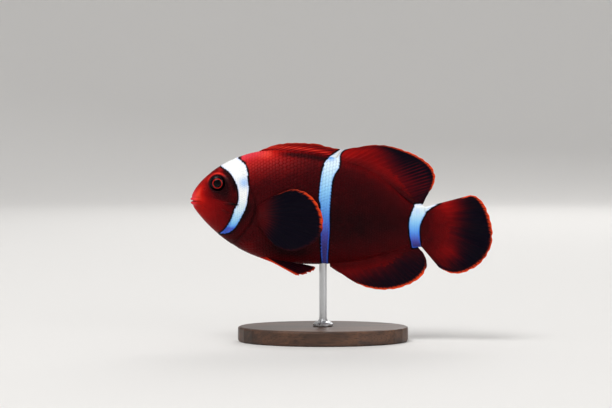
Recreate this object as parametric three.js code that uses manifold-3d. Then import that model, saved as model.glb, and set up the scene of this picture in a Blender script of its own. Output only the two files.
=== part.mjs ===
// A maroon clownfish (spine-cheeked anemonefish), life size, held in swimming pose by a plain display stand.
// Millimetres, +Z up, +X from snout to tail, so that the fish's left side faces -Y.
// The origin is the middle of the stand's underside. Fish sizes are counted from the tip of the snout.
import * as THREE from "three";
import { mergeVertices } from "three/addons/utils/BufferGeometryUtils.js";
import Module from "manifold-3d";

const wasm = await Module();
wasm.setup();

// ---- Driving dimensions ----
const GAP = 0.3; // clearance between neighbouring solids
const GRAIN = 0.05; // cut solids are rounded to this
const SNOUT_HEIGHT = 56; // snout tip above the ground
const ROD_AT = 53; // the rod meets the belly this far behind the snout
const BEND = { from: 48, radius: 340 }; // behind `from` the body curves towards its left side

// The body is a stack of ovals. Each spans from the back line to the belly line, both chains of cubic
// Bezier curves in [x, z] that share their joints: snout, shoulder, rear of the trunk, stalk, end of the spine.
const BACK = [
  [0, 0], [0, 7.2], [15, 20.3], [34, 20.6], [50, 20.8], [68, 16], [78, 8.6],
  [83, 4.9], [87, -1], [92, -1.4], [95, -1.7], [97.5, -5], [97.5, -10],
];
const BELLY = [
  [0, 0], [0.2, -2.8], [14, -21.8], [36, -24.7], [44, -25.8], [64, -26.1], [78, -21.6],
  [82, -20.1], [87, -18.4], [92, -18.4], [95, -18.4], [97.5, -14.8], [97.5, -10],
];
const HALF_WIDTH = [0, 5, 10.2, 10.4, 10.6, 7, 5, 4, 3.2, 2.8, 2.3, 1.3, 0];
const RINGS_TO_JOINT = [0, 0.42, 0.76, 0.88, 1]; // share of the rings in front of each joint
const RIDGE = { back: 1.25, belly: 1.0 }; // exponent of the oval: 1 is an ellipse, more is a sharper ridge
const BODY_RINGS = 40;
const BODY_SIDES = 24;
const END_ROUNDING = 15; // odd; how quickly the growth of the body turns from forward to outward

const EYE = { x: 11.2, z: 7.1, radius: 3.1, bulge: 2.1, sunk: 1.2 };
const MOUTH = { corner: [4.3, -0.5], rise: 0.4, jaw: [9.6, -8.6], throat: [7.4, -24] };

// The edge of the gill cover, from the nape to the throat, and of the cheek in front of it, as [x, z].
const GILL_EDGE = [[19.6, 40], [19.6, 13], [23, 6.5], [25.6, 0], [24.6, -7], [19.5, -14], [13.5, -19], [11, -40]];
const CHEEK_EDGE = [[16.6, 9.5], [17.4, 3], [17.2, -4], [14.6, -10.5], [11.6, -14.2]];
const COVER_BEHIND = [[14.6, -30], [40, -30], [40, 12.8]];
const COVER_DEPTH = 2.2;
const COVER_FROM_MIDDLE = 1;
const CHEEK_SPINES = [
  { from: [13.6, -0.9], to: [19.4, -1.5], radius: 0.75 },
  { from: [12.8, -3], to: [15.6, -4.6], radius: 0.5 },
];
const SPINE_TIP = 0.15; // radius
const SPINE_LIFT = 0.3; // how far the foot lies under the skin, and the tip over it
const STALK_CUT = 84; // the tail stalk begins here

// Each fin runs from a root line inside the body to its margin, both smooth curves through a few [x, z] points.
// thick is the full thickness at the root and at the margin.
const FINS = {
  dorsal_fin_spiny: {
    root: [[27.4, 18.8], [43, 18.6], [57.1, 15.8]],
    margin: [[27.6, 20], [31.4, 21.6], [36, 22.8], [41, 23.2], [50, 22.9], [54, 21.9], [60.5, 20.5]],
    thick: [1.9, 0.6], rays: 14, rows: 2,
  },
  dorsal_fin_soft: {
    root: [[57.5, 15.7], [68, 12.6], [78, 6.9], [91.6, -3.4]],
    margin: [
      [61, 20.5], [66, 21.4], [73.6, 22.4], [80, 21.8], [88, 19.2],
      [94, 15.8], [97.4, 11.4], [97, 6.6], [94.2, 1.8], [93, -0.8],
    ],
    thick: [1.9, 0.55], rays: 20, rows: 4,
  },
  anal_fin: {
    root: [[55.5, -23.8], [66, -23.2], [78, -20.2], [90.2, -16.6]],
    margin: [
      [55.8, -26.4], [61, -29.6], [66, -32.6], [71, -34.6], [77, -35.4], [83, -34.7],
      [89, -32.4], [93, -29], [94.4, -25.6], [93.9, -22.4], [92.7, -20.2], [91.4, -19.3],
    ],
    thick: [1.9, 0.55], rays: 20, rows: 4,
  },
  tail_fin: {
    root: [[93.2, -2.4], [95, -10], [91.8, -17.6]],
    margin: [
      [111.8, 2.6], [115, 1.4], [118, -3], [119.7, -8], [120.4, -13.4], [119.5, -18.4],
      [116.9, -23], [112.7, -26.6], [107.8, -28.5], [103.4, -28.4], [99.2, -26.3],
    ],
    thick: [2.2, 0.6], rays: 20, rows: 5,
  },
};
// The paired fins are given for the left side as [x, y, z]; y is measured out from the middle.
const PAIRED_FINS = {
  pectoral_fin: {
    root: [[27.6, 9, -1.4], [27.2, 9.2, -5], [27.2, 9, -8.8]],
    margin: [
      [34.6, 11.9, 2.9], [41, 13.6, 5], [46.6, 15, 3.6], [50.9, 16.3, -0.8], [53.2, 17, -7.4],
      [51.8, 16.8, -13.2], [47, 15.6, -17.2], [40.6, 13.8, -19.2], [34.6, 12, -17.2], [30.2, 10.6, -12.8],
    ],
    thick: [1.4, 0.55], rays: 18, rows: 4,
  },
  pelvic_fin: {
    root: [[27.4, 2, -21.4], [29.8, 1.8, -22.2], [32.4, 1.5, -22.9]],
    margin: [[42.6, 6.2, -29.4], [45.4, 5.8, -28.9], [48.2, 5, -28], [50, 3.6, -26.9], [49.4, 2.4, -26.4]],
    thick: [1.5, 0.6], rays: 7, rows: 4,
  },
};

const BASE = { length: 68, width: 42, height: 6, edge: 0.8 };
const ROD = { radius: 1.5, flange: 4, flangeHeight: 1.4, intoBelly: 5, sides: 24 };

// ---- Shape helpers ----
const v2 = ([x, y]) => new THREE.Vector2(x, y);
const lerp = THREE.MathUtils.lerp;

// A chain of cubic Bezier curves through every third point; u counts the curves.
function bezierChain(points) {
  const curves = [];
  for (let i = 0; i + 3 < points.length; i += 3)
    curves.push(new THREE.CubicBezierCurve(...points.slice(i, i + 4).map(v2)));
  return (u) => {
    const k = Math.min(Math.floor(u), curves.length - 1);
    return curves[k].getPoint(u - k);
  };
}

// A smooth curve through points, read by its share of the length.
function smoothCurve(points) {
  const curve = new THREE.CatmullRomCurve3(points, false, "catmullrom", 0.5);
  return (s) => curve.getPointAt(THREE.MathUtils.clamp(s, 0, 1));
}

const backAt = bezierChain(BACK);
const bellyAt = bezierChain(BELLY);
const widthAt = bezierChain(HALF_WIDTH.map((w) => [w, 0]));

// The chain parameter of the ring at a share of all the rings.
function ringParameter(share) {
  let k = 0;
  while (k < RINGS_TO_JOINT.length - 2 && share > RINGS_TO_JOINT[k + 1]) k++;
  return k + (share - RINGS_TO_JOINT[k]) / (RINGS_TO_JOINT[k + 1] - RINGS_TO_JOINT[k]);
}

// The swimming curve: behind BEND.from the middle plane follows an arc towards -Y.
function bend(p) {
  const angle = (p.x - BEND.from) / BEND.radius;
  if (angle <= 0) return p;
  const reach = BEND.radius + p.y;
  return p.set(BEND.from + reach * Math.sin(angle), reach * Math.cos(angle) - BEND.radius, p.z);
}

// Moves every vertex of a geometry by a function, which gets and returns a Vector3.
function reshape(geometry, move) {
  const position = geometry.attributes.position;
  const p = new THREE.Vector3();
  for (let i = 0; i < position.count; i++) {
    const q = move(p.fromBufferAttribute(position, i));
    position.setXYZ(i, q.x, q.y, q.z);
  }
  return geometry;
}

// ---- Solids ----
function solidOf(geometry) {
  const bare = geometry.clone();
  for (const name of Object.keys(bare.attributes)) if (name !== "position") bare.deleteAttribute(name);
  const merged = mergeVertices(bare, 1e-4);
  return new wasm.Manifold(
    new wasm.Mesh({
      numProp: 3,
      vertProperties: new Float32Array(merged.attributes.position.array),
      triVerts: new Uint32Array(merged.index.array),
    }),
  );
}

function geometryOf(solid) {
  const mesh = solid.getMesh();
  const geometry = new THREE.BufferGeometry();
  geometry.setAttribute("position", new THREE.BufferAttribute(new Float32Array(mesh.vertProperties), 3));
  geometry.setIndex(new THREE.BufferAttribute(new Uint32Array(mesh.triVerts), 1));
  geometry.computeVertexNormals();
  return geometry;
}

// A cut can leave crumbs and slivers, so its points are rounded and the largest body is kept.
function whole(solid) {
  const round = (value) => Math.round(value / GRAIN) * GRAIN;
  const rounded = reshape(geometryOf(solid), (p) => p.set(round(p.x), round(p.y), round(p.z)));
  const bodies = solidOf(rounded).decompose();
  return bodies.sort((a, b) => b.volume() - a.volume())[0];
}

// The whole body without fins, grown by `grow` all round. A unit sphere's rings become the ovals.
function bodySolid(grow = 0) {
  const sphere = new THREE.SphereGeometry(1, BODY_SIDES, BODY_RINGS);
  reshape(sphere, (p) => {
    const u = ringParameter(Math.acos(THREE.MathUtils.clamp(p.y, -1, 1)) / Math.PI);
    const back = backAt(u);
    const belly = bellyAt(u);
    const around = Math.atan2(p.z, p.x);
    const up = Math.sin(around);
    const middle = back.clone().add(belly).multiplyScalar(0.5);
    const reach = back.clone().sub(belly).multiplyScalar(0.5);
    const forward = p.y ** END_ROUNDING; // 1 at the snout, -1 at the tail end, near 0 between
    const outward = grow * Math.sqrt(1 - forward * forward);
    reach.setLength(grownBy(outward, reach.length()));
    const sharp = up > 0 ? RIDGE.back : RIDGE.belly;
    const out = Math.sign(Math.cos(around)) * Math.abs(Math.cos(around)) ** sharp;
    const x = middle.x + reach.x * up - grow * forward;
    return p.set(x, grownBy(outward, widthAt(u).x) * out, middle.y + reach.y * up);
  });
  return solidOf(reshape(sphere, bend));
}

// A half size with the growth added; a shrunken one keeps a third of itself.
const grownBy = (growth, half) => Math.max(half + growth, half / 3);

// A plate with an outline in [x, z], as thick as `from` to `to` along Y.
function plate(points, from, to) {
  const extruded = new THREE.ExtrudeGeometry(new THREE.Shape(points.map(v2)), {
    depth: to - from,
    bevelEnabled: false,
  });
  return solidOf(extruded.rotateX(Math.PI / 2).translate(0, to, 0));
}

// A point on the body's left side at x, z: the outermost y of the oval through it.
function sideAt(x, z) {
  const rings = 400;
  let best = 0;
  let least = Infinity;
  for (let i = 0; i <= rings; i++) {
    const u = (i / rings) * 2;
    const middle = (backAt(u).x + bellyAt(u).x) / 2;
    if (Math.abs(middle - x) < least) [least, best] = [Math.abs(middle - x), u];
  }
  const back = backAt(best).y;
  const belly = bellyAt(best).y;
  const up = (z - (back + belly) / 2) / ((back - belly) / 2);
  return widthAt(best).x * Math.cos(Math.asin(up)) ** (up > 0 ? RIDGE.back : RIDGE.belly);
}

// A fin: a box bent so that its long side follows the root and margin curves, tapering in thickness.
function finSolid({ root, margin, thick, rays, rows }, side = 0) {
  const point = (p) =>
    p.length === 2 ? new THREE.Vector3(p[0], 0, p[1]) : new THREE.Vector3(p[0], side * p[1], p[2]);
  const rootAt = smoothCurve(root.map(point));
  const marginAt = smoothCurve(margin.map(point));
  const surface = (s, t) => rootAt(s).lerp(marginAt(s), t);
  const step = 0.01;
  const box = new THREE.BoxGeometry(1, 1, 1, rays, rows, 1);
  reshape(box, (p) => {
    const [s, t, face] = [p.x + 0.5, p.y + 0.5, p.z];
    const along = surface(s, t + step).sub(surface(s, t));
    const across = surface(Math.min(s + step, 1), t).sub(surface(Math.max(s - step, 0), t));
    const normal = across.cross(along).normalize();
    return p.copy(surface(s, t)).addScaledVector(normal, face * lerp(thick[0], thick[1], t));
  });
  const solid = solidOf(reshape(box, bend));
  if (solid.volume() > 0) return solid;
  box.index.array.reverse(); // a mirrored box is inside out
  return solidOf(box);
}

function eyeSolid(side, grow = 0) {
  const ball = new THREE.SphereGeometry(1, 16, 10);
  const flat = EYE.bulge + grow;
  const wide = EYE.radius + grow;
  const out = side * (sideAt(EYE.x, EYE.z) - EYE.sunk);
  return solidOf(ball.scale(wide, flat, wide).translate(EYE.x, out, EYE.z));
}

// A spine on the cheek: a slim cone laid along the skin with its foot sunk in the head.
function cheekSpine({ from, to, radius }, side, grow = 0) {
  const foot = new THREE.Vector3(from[0], side * (sideAt(...from) - SPINE_LIFT), from[1]);
  const tip = new THREE.Vector3(to[0], side * (sideAt(...to) + SPINE_LIFT), to[1]);
  const length = foot.distanceTo(tip);
  const cone = new THREE.CylinderGeometry(SPINE_TIP + grow, radius + grow, length + 2 * grow, 8, 1);
  cone.translate(0, length / 2, 0);
  const turn = new THREE.Quaternion().setFromUnitVectors(
    new THREE.Vector3(0, 1, 0),
    tip.clone().sub(foot).normalize(),
  );
  return solidOf(cone.applyQuaternion(turn).translate(foot.x, foot.y, foot.z));
}

// ---- Fish ----
const SIDES = { left: -1, right: 1 };
const FAR = 60; // beyond the fish on every side
const body = bodySolid();
const clear = bodySolid(GAP); // what the fins and the rod are cut back from

// A closed outline, counter-clockwise, moved outwards by `by`.
function grown(outline, by) {
  return outline.map(([x, z], i) => {
    const [ax, az] = outline.at(i - 1);
    const [bx, bz] = outline[(i + 1) % outline.length];
    const length = Math.hypot(bx - ax, bz - az);
    return [x + (by * (bz - az)) / length, z - (by * (bx - ax)) / length];
  });
}

// Points along a smooth curve in [x, z], from one share of its length to another.
function along(points, from, to, steps) {
  const curve = smoothCurve(points.map(([x, z]) => new THREE.Vector3(x, z, 0)));
  return Array.from({ length: steps + 1 }, (_, i) => curve(lerp(from, to, i / steps))).map((p) => [p.x, p.y]);
}

// Everything in front of the gill edge.
function headBlock(grow) {
  const edge = along(GILL_EDGE, 1, 0, 20);
  const outline = [...edge, [-FAR, edge.at(-1)[1]], [-FAR, edge[0][1]]];
  return plate(grown(outline, grow), -FAR, FAR);
}

// Everything below the slit of the mouth and in front of the jaw's rear edge.
function jawBlock(grow) {
  const [cx, cz] = MOUTH.corner;
  const outline = [[-FAR, cz], [-FAR, MOUTH.throat[1]], MOUTH.throat, MOUTH.jaw, [cx, cz], [0, cz + MOUTH.rise]];
  return plate(grown(outline, grow), -FAR, FAR);
}

// The space of a gill cover: down the edge of the cheek, round behind the gill edge, which trims it,
// and inwards as far as its depth under the skin.
function coverBlock(grow, side) {
  const outline = grown([...along(CHEEK_EDGE, 0, 1, 8), ...COVER_BEHIND], grow);
  const inner = COVER_FROM_MIDDLE - grow;
  const block = side < 0 ? plate(outline, -FAR, -inner) : plate(outline, inner, FAR);
  return block.subtract(bodySolid(-COVER_DEPTH - grow));
}

function headParts() {
  const front = body.intersect(headBlock(0));
  const upper = front.subtract(jawBlock(GAP));
  const parts = { lower_jaw: front.intersect(jawBlock(0)) };
  let head = upper;
  for (const [hand, side] of Object.entries(SIDES)) {
    let cover = upper.intersect(coverBlock(0, side));
    head = head.subtract(coverBlock(GAP, side));
    for (const spine of CHEEK_SPINES) {
      cover = cover.subtract(cheekSpine(spine, side, GAP));
      head = head.add(cheekSpine(spine, side));
    }
    head = head.subtract(eyeSolid(side, GAP));
    parts["gill_cover_" + hand] = cover;
    parts["eye_" + hand] = eyeSolid(side);
  }
  return { head, ...parts };
}

function trunkParts() {
  const rest = body.subtract(headBlock(GAP));
  const stalkBlock = (x) => plate([[x, -FAR], [2 * FAR, -FAR], [2 * FAR, FAR], [x, FAR]], -FAR, FAR);
  const socket = solidOf(
    new THREE.CylinderGeometry(ROD.radius + GAP, ROD.radius + GAP, FAR, ROD.sides)
      .rotateX(Math.PI / 2)
      .translate(...bend(new THREE.Vector3(ROD_AT, 0, bellyTop() - FAR / 2 + GAP)).toArray()),
  );
  return {
    trunk: rest.subtract(stalkBlock(STALK_CUT)).subtract(socket),
    tail_stalk: rest.intersect(stalkBlock(STALK_CUT + GAP)),
  };
}

// How high the rod reaches, in the fish's frame.
function bellyTop() {
  const rings = 400;
  let z = 0;
  for (let i = 0; i <= rings; i++) {
    const p = bellyAt(1 + i / rings);
    if (p.x <= ROD_AT) z = p.y;
  }
  return z + ROD.intoBelly;
}

function finParts() {
  const parts = {};
  for (const [name, fin] of Object.entries(FINS)) parts[name] = finSolid(fin).subtract(clear);
  for (const [name, fin] of Object.entries(PAIRED_FINS))
    for (const [hand, side] of Object.entries(SIDES))
      parts[name + "_" + hand] = finSolid(fin, side).subtract(clear);
  return parts;
}

// ---- Stand ----
function standBase() {
  const outline = new THREE.Shape();
  const { length, width, height, edge } = BASE;
  outline.absellipse(0, 0, length / 2 - edge, width / 2 - edge, 0, 2 * Math.PI);
  const extruded = new THREE.ExtrudeGeometry(outline, {
    depth: height - 2 * edge,
    curveSegments: 16,
    bevelEnabled: true,
    bevelThickness: edge,
    bevelSize: edge,
    bevelSegments: 2,
  });
  return extruded.translate(0, 0, edge);
}

function standRod(top) {
  const { radius, flange, flangeHeight, sides } = ROD;
  const low = BASE.height + GAP;
  const profile = [
    [0, low], [flange, low], [flange, low + flangeHeight * 0.5], [flange * 0.8, low + flangeHeight],
    [radius * 1.3, low + flangeHeight * 1.3], [radius, low + flangeHeight * 2], [radius, top], [0, top],
  ];
  return new THREE.LatheGeometry(profile.map(v2), sides).rotateX(Math.PI / 2);
}

// ---- Materials ----
const finish = (color, roughness, metalness = 0) =>
  new THREE.MeshStandardMaterial({ color, roughness, metalness });
const MAROON = finish(0x7a1414, 0.45);
const FIN_RED = finish(0x5a1010, 0.5);
const PECTORAL_BLACK = finish(0x140a14, 0.5);
const EYE_BLACK = finish(0x0c0808, 0.1);
const WALNUT = finish(0x3b2a20, 0.5);
const STEEL = finish(0x9a9a9a, 0.3, 1);

function materialFor(name) {
  if (name.startsWith("eye")) return EYE_BLACK;
  if (name.startsWith("pectoral")) return PECTORAL_BLACK;
  if (name.includes("fin")) return FIN_RED;
  return MAROON;
}

function named(name, geometry, material) {
  const mesh = new THREE.Mesh(geometry, material);
  mesh.name = name;
  return mesh;
}

// ---- Assembly ----
const fish = new THREE.Group();
fish.position.set(-ROD_AT, 0, SNOUT_HEIGHT);
const parts = { ...headParts(), ...trunkParts(), ...finParts() };
for (const [name, solid] of Object.entries(parts))
  fish.add(named(name, geometryOf(whole(solid)), materialFor(name)));

const stand = new THREE.Group();
stand.add(named("stand_base", standBase(), WALNUT));
stand.add(named("stand_rod", standRod(SNOUT_HEIGHT + bellyTop()), STEEL));

const clownfish = new THREE.Group();
clownfish.add(fish, stand);
export default clownfish;
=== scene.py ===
"""The looks of a maroon clownfish (spine-cheeked anemonefish) on its display stand.

Metres, +Z up, +X from snout to tail, the fish's left side facing -Y. Sizes on the fish are in
millimetres from the tip of its snout, with the body straight; to_world() curves and places them.
"""
import math
from types import SimpleNamespace

import bpy
import numpy as np
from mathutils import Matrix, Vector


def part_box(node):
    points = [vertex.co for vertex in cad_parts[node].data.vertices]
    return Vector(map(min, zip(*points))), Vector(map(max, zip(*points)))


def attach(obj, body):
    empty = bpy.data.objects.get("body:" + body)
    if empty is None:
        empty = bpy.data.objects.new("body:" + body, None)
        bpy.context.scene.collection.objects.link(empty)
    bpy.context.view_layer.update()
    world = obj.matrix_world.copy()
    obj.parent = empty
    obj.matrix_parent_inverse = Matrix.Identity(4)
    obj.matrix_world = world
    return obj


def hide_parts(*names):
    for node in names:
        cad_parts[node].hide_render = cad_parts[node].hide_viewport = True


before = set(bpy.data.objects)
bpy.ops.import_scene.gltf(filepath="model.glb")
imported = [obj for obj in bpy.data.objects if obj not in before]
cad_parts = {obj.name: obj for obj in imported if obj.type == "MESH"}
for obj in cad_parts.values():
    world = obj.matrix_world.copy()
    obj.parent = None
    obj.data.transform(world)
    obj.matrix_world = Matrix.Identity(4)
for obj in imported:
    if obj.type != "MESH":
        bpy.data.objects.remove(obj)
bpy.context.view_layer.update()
random = np.random.default_rng(7)

# ---- Camera ----
# A long lens on the fish's left side, almost level with it, so that the fins show flat. The fish
# swims a little above the middle of the frame, with room to the floor for the stand.
MM = 0.001
EYE_AT = (11.2, 7.1)  # behind and above the tip of the snout
eye_low, eye_high = (np.array(corner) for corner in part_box("eye_left"))
snout = (eye_low + eye_high) / 2 - MM * np.array((EYE_AT[0], 0, EYE_AT[1]))
snout[1] = 0
LENS, SENSOR = 100, 36
FRAME_WIDTH = 244
LOOKS_AT = (46.2, 0, -1.2)
RAISED = math.radians(2)

camera = bpy.data.objects.new("camera", bpy.data.cameras.new("camera"))
bpy.context.scene.collection.objects.link(camera)
camera.data.lens, camera.data.sensor_width = LENS, SENSOR
away = MM * FRAME_WIDTH * LENS / SENSOR
target = snout + MM * np.array(LOOKS_AT)
camera.location = target + away * np.array((0, -math.cos(RAISED), math.sin(RAISED)))
camera.rotation_euler = (math.pi / 2 - RAISED, 0, 0)
camera.data.clip_end = 20
bpy.context.scene.camera = camera
bpy.context.scene.view_settings.view_transform = "Standard"  # keeps the reds as deep as they are

# ---- Skin ----
# The fish's whole body without its fins: one wet, elastic skin from lips to tail base, stretched
# over the muscle. It is a stack of ovals between the back line and the belly line, with the lips,
# nostrils, eye sockets, cheek and gill covers raised or sunk along its normal.
BACK = np.array([
    (0, 0), (0, 7.2), (15, 20.3), (34, 20.6), (50, 20.8), (68, 16), (78, 8.6),
    (83, 4.9), (87, -1), (92, -1.4), (95, -1.7), (97.5, -5), (97.5, -10),
])
BELLY = np.array([
    (0, 0), (0.2, -2.8), (14, -21.8), (36, -24.7), (44, -25.8), (64, -26.1), (78, -21.6),
    (82, -20.1), (87, -18.4), (92, -18.4), (95, -18.4), (97.5, -14.8), (97.5, -10),
])
HALF_WIDTH = np.array([0, 5, 10.2, 10.4, 10.6, 7, 5, 4, 3.2, 2.8, 2.3, 1.3, 0])[:, None]
BODY_ENDS = (0, 4)  # the chain's parameter at the snout and at the end of the spine
RIDGE_BACK = 1.25  # over 1 makes a sharper ridge than an ellipse
BEND_FROM, BEND_RADIUS = 48, 340
COAT_DEPTH = 0.3  # the skin lies this far inside the solids, and the scales fill the rest
SKIN_RINGS = (120, 100, 40, 24)  # along each of the four curves
SKIN_SIDES = 256


def bezier_chain(points, u):
    """Cubic Bezier curves through every third point; u counts the curves from 0."""
    run = np.clip(np.floor(u).astype(int), 0, (len(points) - 1) // 3 - 1)
    t = (u - run)[..., None]
    a, b, c, d = (points[3 * run + i] for i in range(4))
    return (1 - t) ** 3 * a + 3 * (1 - t) ** 2 * t * b + 3 * (1 - t) * t**2 * c + t**3 * d


def body_oval(u, around):
    """Straight body: middle + reach * cos(turn) up, half width * sin(turn) out to the side.

    around is 0 on the back, a quarter turn on the left and half a turn on the belly; turn is around
    with its speed evened out, so that equal steps of it are about equally long on the oval.
    """
    back, belly = bezier_chain(BACK, u), bezier_chain(BELLY, u)
    half = bezier_chain(HALF_WIDTH, u)[..., 0]
    middle, reach = (back + belly) / 2, (back - belly) / 2
    tall = np.hypot(reach[..., 0], reach[..., 1])
    turn = np.arctan2(np.sqrt(tall) * np.sin(around), np.sqrt(half) * np.cos(around))
    up, out = np.cos(turn), np.sin(turn)
    out = np.sign(out) * np.abs(out) ** np.where(up > 0, RIDGE_BACK, 1)
    x, z = middle[..., 0] + reach[..., 0] * up, middle[..., 1] + reach[..., 1] * up
    return np.stack((x, -half * out, z), axis=-1)


def body_normal(u, around):
    """Unit normal: the cross product of a small step along the body and a small step round it."""
    step = 1e-3
    u = np.clip(u, BODY_ENDS[0] + 5 * step, BODY_ENDS[1] - 5 * step)
    along = body_oval(u + step, around) - body_oval(u - step, around)
    across = body_oval(u, around + step) - body_oval(u, around - step)
    normal = np.cross(across, along)
    return normal / np.linalg.norm(normal, axis=-1, keepdims=True)


def to_world(points):
    """Millimetres on the straight fish to metres in the frame, its rear curved towards its left."""
    x, y, z = np.moveaxis(np.asarray(points, float), -1, 0)
    angle = np.maximum(x - BEND_FROM, 0) / BEND_RADIUS
    reach = BEND_RADIUS + y
    bent_x = np.where(x > BEND_FROM, BEND_FROM + reach * np.sin(angle), x)
    bent_y = np.where(x > BEND_FROM, reach * np.cos(angle) - BEND_RADIUS, y)
    return snout + MM * np.stack((bent_x, bent_y, z), axis=-1)


def ease(low, high, value):
    """0 at low, 1 at high, flat beyond them and an S between; low may be the larger."""
    t = np.clip((value - low) / (high - low), 0, 1)
    return t * t * (3 - 2 * t)


def bump(value, centre, width):
    """A bell of height 1 at centre, which falls to 1/e at width from it."""
    return np.exp(-(((value - centre) / width) ** 2))


CURVE_STEPS = 24  # from each given point of a curve to the next
EDGE_POINTS, OUTLINE_POINTS = 80, 400  # at which an edge and an outline are read


def smooth_curve(points, shares):
    """Catmull-Rom curve through the points, read at shares of its length."""
    points = np.asarray(points, float)
    ends = np.vstack((2 * points[0] - points[1], points, 2 * points[-1] - points[-2]))
    t = np.linspace(0, 1, CURVE_STEPS + 1)[:-1, None]
    rows = []
    for a, b, c, d in zip(ends, ends[1:], ends[2:], ends[3:]):
        p, q = (c - a) / 2, (d - b) / 2
        rows.append(b + p * t + (3 * (c - b) - 2 * p - q) * t**2 + (2 * (b - c) + p + q) * t**3)
    line = np.vstack(rows + [points[-1:]])
    length = np.concatenate(([0], np.cumsum(np.linalg.norm(np.diff(line, axis=0), axis=1))))
    at = np.clip(shares, 0, 1) * length[-1]
    return np.stack([np.interp(at, length, line[:, i]) for i in range(points.shape[1])], axis=-1)


def behind(edge, x, z):
    """Signed distance behind a line that runs from high to low, both in [x, z]."""
    line = smooth_curve(edge, np.linspace(0, 1, EDGE_POINTS))[::-1]
    slope = np.gradient(line[:, 0], line[:, 1])
    lean = np.sqrt(1 + np.interp(z, line[:, 1], slope) ** 2)
    return (x - np.interp(z, line[:, 1], line[:, 0])) / lean


def outline_height(chain, x):
    """Height of the back line or the belly line at x."""
    line = bezier_chain(chain, np.linspace(*BODY_ENDS, OUTLINE_POINTS))
    return np.interp(x, line[:, 0], line[:, 1])


GILL_EDGE = [(19.6, 13), (23, 6.5), (25.6, 0), (24.6, -7), (19.5, -14), (13.5, -19)]
CHEEK_EDGE = [(16.6, 9.5), (17.4, 3), (17.2, -4), (14.6, -10.5), (11.6, -14.2)]
NOSTRIL = (5.9, 5.0)
SOCKET = 3.05  # radius


def mouth_height(x):
    """The slit of the mouth sinks a little from the lips to its corner."""
    return 0.05 - 0.12 * x


def relief(point):
    """How far the skin stands out of, or in from, the plain ovals."""
    x, _, z = np.moveaxis(point, -1, 0)
    above = z - mouth_height(x)
    lips = 1 - ease(3.0, 5.4, x)
    height = lips * (0.26 * bump(above, 0.72, 0.46) + 0.26 * bump(above, -0.74, 0.5))
    height -= lips * (0.2 * bump(above, 1.7, 0.34) + 0.2 * bump(above, -1.85, 0.38))
    # The mouth is open in front and a crease behind.
    gape = 0.95 * ease(2.8, 1.2, x) + 0.2 * ease(5.8, 4.4, x)
    height -= gape * bump(above, 0, 0.2 + 0.16 * ease(2.4, 0.6, x))
    fold = z + 1.2 + 0.9 * (x - 4.6)  # the jaw bone's edge, down and back from the corner
    height -= 0.13 * bump(fold, 0, 0.35) * ease(3.6, 4.6, x) * ease(7.4, 6, x)
    from_nostril = np.hypot(x - NOSTRIL[0], z - NOSTRIL[1])
    height += 0.12 * bump(from_nostril, 0.62, 0.22) - 0.45 * bump(from_nostril, 0, 0.33)
    from_eye = np.hypot(x - EYE_AT[0], z - EYE_AT[1])
    height += 0.22 * bump(from_eye, 3.55, 0.45) - 0.1 * bump(from_eye, 4.6, 0.6)
    height -= 1.7 * (1 - ease(SOCKET - 0.45, SOCKET + 0.1, from_eye))
    past_gill = behind(GILL_EDGE, x, z)
    throat = ease(0.4, 3, z - outline_height(BELLY, x))  # the edges run out at the throat
    gill = (1 - ease(9.5, 12.5, z)) * throat
    edge = ease(-4, -0.4, past_gill) * (1 - ease(-0.15, 0.25, past_gill))
    height += gill * (0.26 * edge - 0.42 * bump(past_gill, 0.5, 0.42))
    past_cheek = behind(CHEEK_EDGE, x, z)
    cheek = (1 - ease(6, 9, z)) * ease(-14.5, -12, z) * throat
    edge = ease(-2.5, -0.3, past_cheek) * (1 - ease(-0.1, 0.2, past_cheek))
    return height + cheek * (0.14 * edge - 0.12 * bump(past_cheek, 0.35, 0.3))


def skin_point(u, around, lift=0.0):
    """A point of the straight fish's skin, lifted off it by lift."""
    point = body_oval(u, around)
    out = relief(point) - COAT_DEPTH + lift
    return point + body_normal(u, around) * out[..., None]


# The three pale bars. Each lies between a front and a rear edge, which run from high to low in
# [x, z], and between two heights. Its colour is white at one height and violet at another: the
# bar's own white under painted bluish light from above, falling off into painted violet shade
# towards the belly. A fade under 1 keeps it pale for longer on the way down, and no part of it is
# less than `least` pale.
BARS = [
    {
        "front": [(12.2, 13.8), (15.9, 11.2), (18.4, 7.2), (19.3, 4.2), (19.3, 0), (18, -2.8),
                  (16.2, -7.4), (13.9, -10.8), (11.9, -12.4)],
        "rear": [(19.1, 16.8), (21.1, 15.4), (22.5, 12.8), (23.2, 8.8), (23.4, 5.2), (22.5, -1.5),
                 (20.8, -5.4), (18.8, -9), (17.4, -10.8), (15.2, -12.3), (12.6, -13)],
        "heights": (30, -12.7), "white": 2, "violet": -10.4, "fade": 0.36, "least": 0.16,
    },
    {
        "front": [(60.4, 20.9), (57.2, 18.7), (53.8, 16.2), (52.2, 11.6), (51.3, 4.4), (51.1, 1.2),
                  (51.6, -2.8), (51.7, -15.2), (52.1, -26)],
        "rear": [(62.8, 21.2), (60, 18.9), (59, 13.6), (57.2, 10.6), (56.2, 6.8), (55.6, 1.2),
                 (55.4, -5.2), (55.3, -11.2), (54.9, -17.1), (54.5, -24.1), (55.4, -26.5)],
        "heights": (30, -27), "white": 20, "violet": -18, "fade": 1.1, "least": 0,
    },
    {
        "front": [(89.7, -0.8), (88, -5), (87.2, -8.4), (87.4, -13), (88.4, -18.8)],
        "rear": [(99, -1), (95.4, -3), (93.7, -4.9), (91.8, -8.8), (91.3, -12.8), (92, -18.8)],
        "heights": (-1.2, -18.4), "white": -1.5, "violet": -18.2, "fade": 1.1, "least": 0,
    },
]
OUTSIDE_BARS = -9.0  # the depth given where no bar is near


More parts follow.
